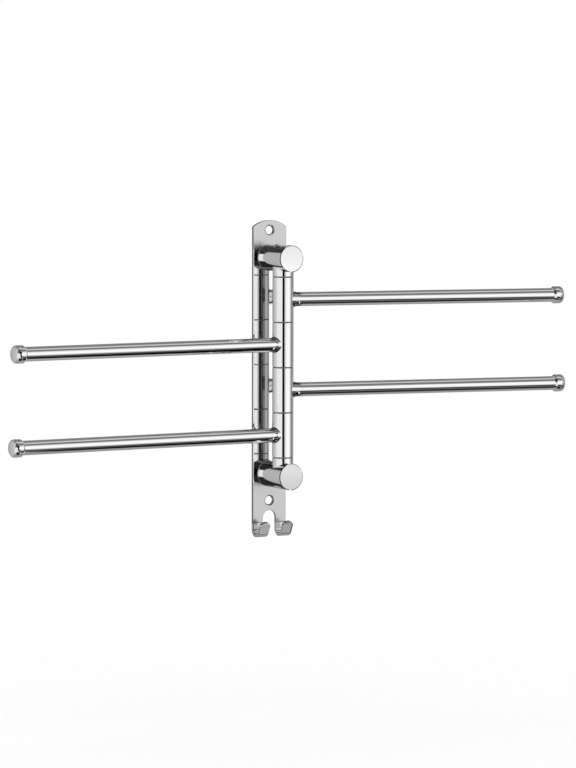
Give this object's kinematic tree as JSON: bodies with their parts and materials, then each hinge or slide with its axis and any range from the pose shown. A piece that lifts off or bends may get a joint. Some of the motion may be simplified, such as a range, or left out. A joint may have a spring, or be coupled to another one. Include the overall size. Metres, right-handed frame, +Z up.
{
  "type": "swing arm towel bar",
  "caption": "Wall-mounted towel rail with tube arms that swing on a vertical column between posts, on an arched back plate whose lower end is bent into robe hooks.",
  "frame": {"origin": "on the wall, at the back face of the plate, midway between the wall screw holes", "axes": "+X along the wall to the right as seen from the room, +Y into the wall, +Z up"},
  "size_m": [0.547, 0.0791, 0.2854],
  "materials": {
    "polished_steel": "polished",
    "plain_steel": "satin",
    "screw_steel": "satin",
    "black_screw": "satin",
    "grey_nylon": "satin",
    "white_nylon": "satin"
  },
  "bodies": {
    "wall_frame": {"back_plate": "polished_steel", "pivot_rod": "plain_steel", "top_post": "polished_steel", "top_stud": "plain_steel", "top_stud_screw": "screw_steel", "top_set_screw": "black_screw", "top_collar": "polished_steel", "bottom_post": "polished_steel", "bottom_stud": "plain_steel", "bottom_stud_screw": "screw_steel", "bottom_set_screw": "black_screw", "bottom_collar": "polished_steel", "washer_1": "grey_nylon", "washer_2": "grey_nylon", "washer_3": "grey_nylon", "washer_4": "grey_nylon", "washer_5": "grey_nylon"},
    "upper_right_arm": {"upper_right_sleeve": "polished_steel", "upper_right_upper_bush": "white_nylon", "upper_right_lower_bush": "white_nylon", "upper_right_arm_tube": "polished_steel", "upper_right_end_cap": "polished_steel"},
    "upper_left_arm": {"upper_left_sleeve": "polished_steel", "upper_left_upper_bush": "white_nylon", "upper_left_lower_bush": "white_nylon", "upper_left_arm_tube": "polished_steel", "upper_left_end_cap": "polished_steel"},
    "lower_right_arm": {"lower_right_sleeve": "polished_steel", "lower_right_upper_bush": "white_nylon", "lower_right_lower_bush": "white_nylon", "lower_right_arm_tube": "polished_steel", "lower_right_end_cap": "polished_steel"},
    "lower_left_arm": {"lower_left_sleeve": "polished_steel", "lower_left_upper_bush": "white_nylon", "lower_left_lower_bush": "white_nylon", "lower_left_arm_tube": "polished_steel", "lower_left_end_cap": "polished_steel"}
  },
  "joints": [
    {"name": "upper_right_swing", "type": "hinge", "parent": "wall_frame", "child": "upper_right_arm", "pos_m": [0, -0.027, 0.06075], "axis": [0, 0, 1], "range_deg": [-171.4, 8.6]},
    {"name": "upper_left_swing", "type": "hinge", "parent": "wall_frame", "child": "upper_left_arm", "pos_m": [0, -0.027, 0.02025], "axis": [0, 0, 1], "range_deg": [-3.5, 176.5]},
    {"name": "lower_right_swing", "type": "hinge", "parent": "wall_frame", "child": "lower_right_arm", "pos_m": [0, -0.027, -0.02025], "axis": [0, 0, 1], "range_deg": [-170.6, 9.4]},
    {"name": "lower_left_swing", "type": "hinge", "parent": "wall_frame", "child": "lower_left_arm", "pos_m": [0, -0.027, -0.06075], "axis": [0, 0, 1], "range_deg": [-2.5, 177.5]}
  ]
}
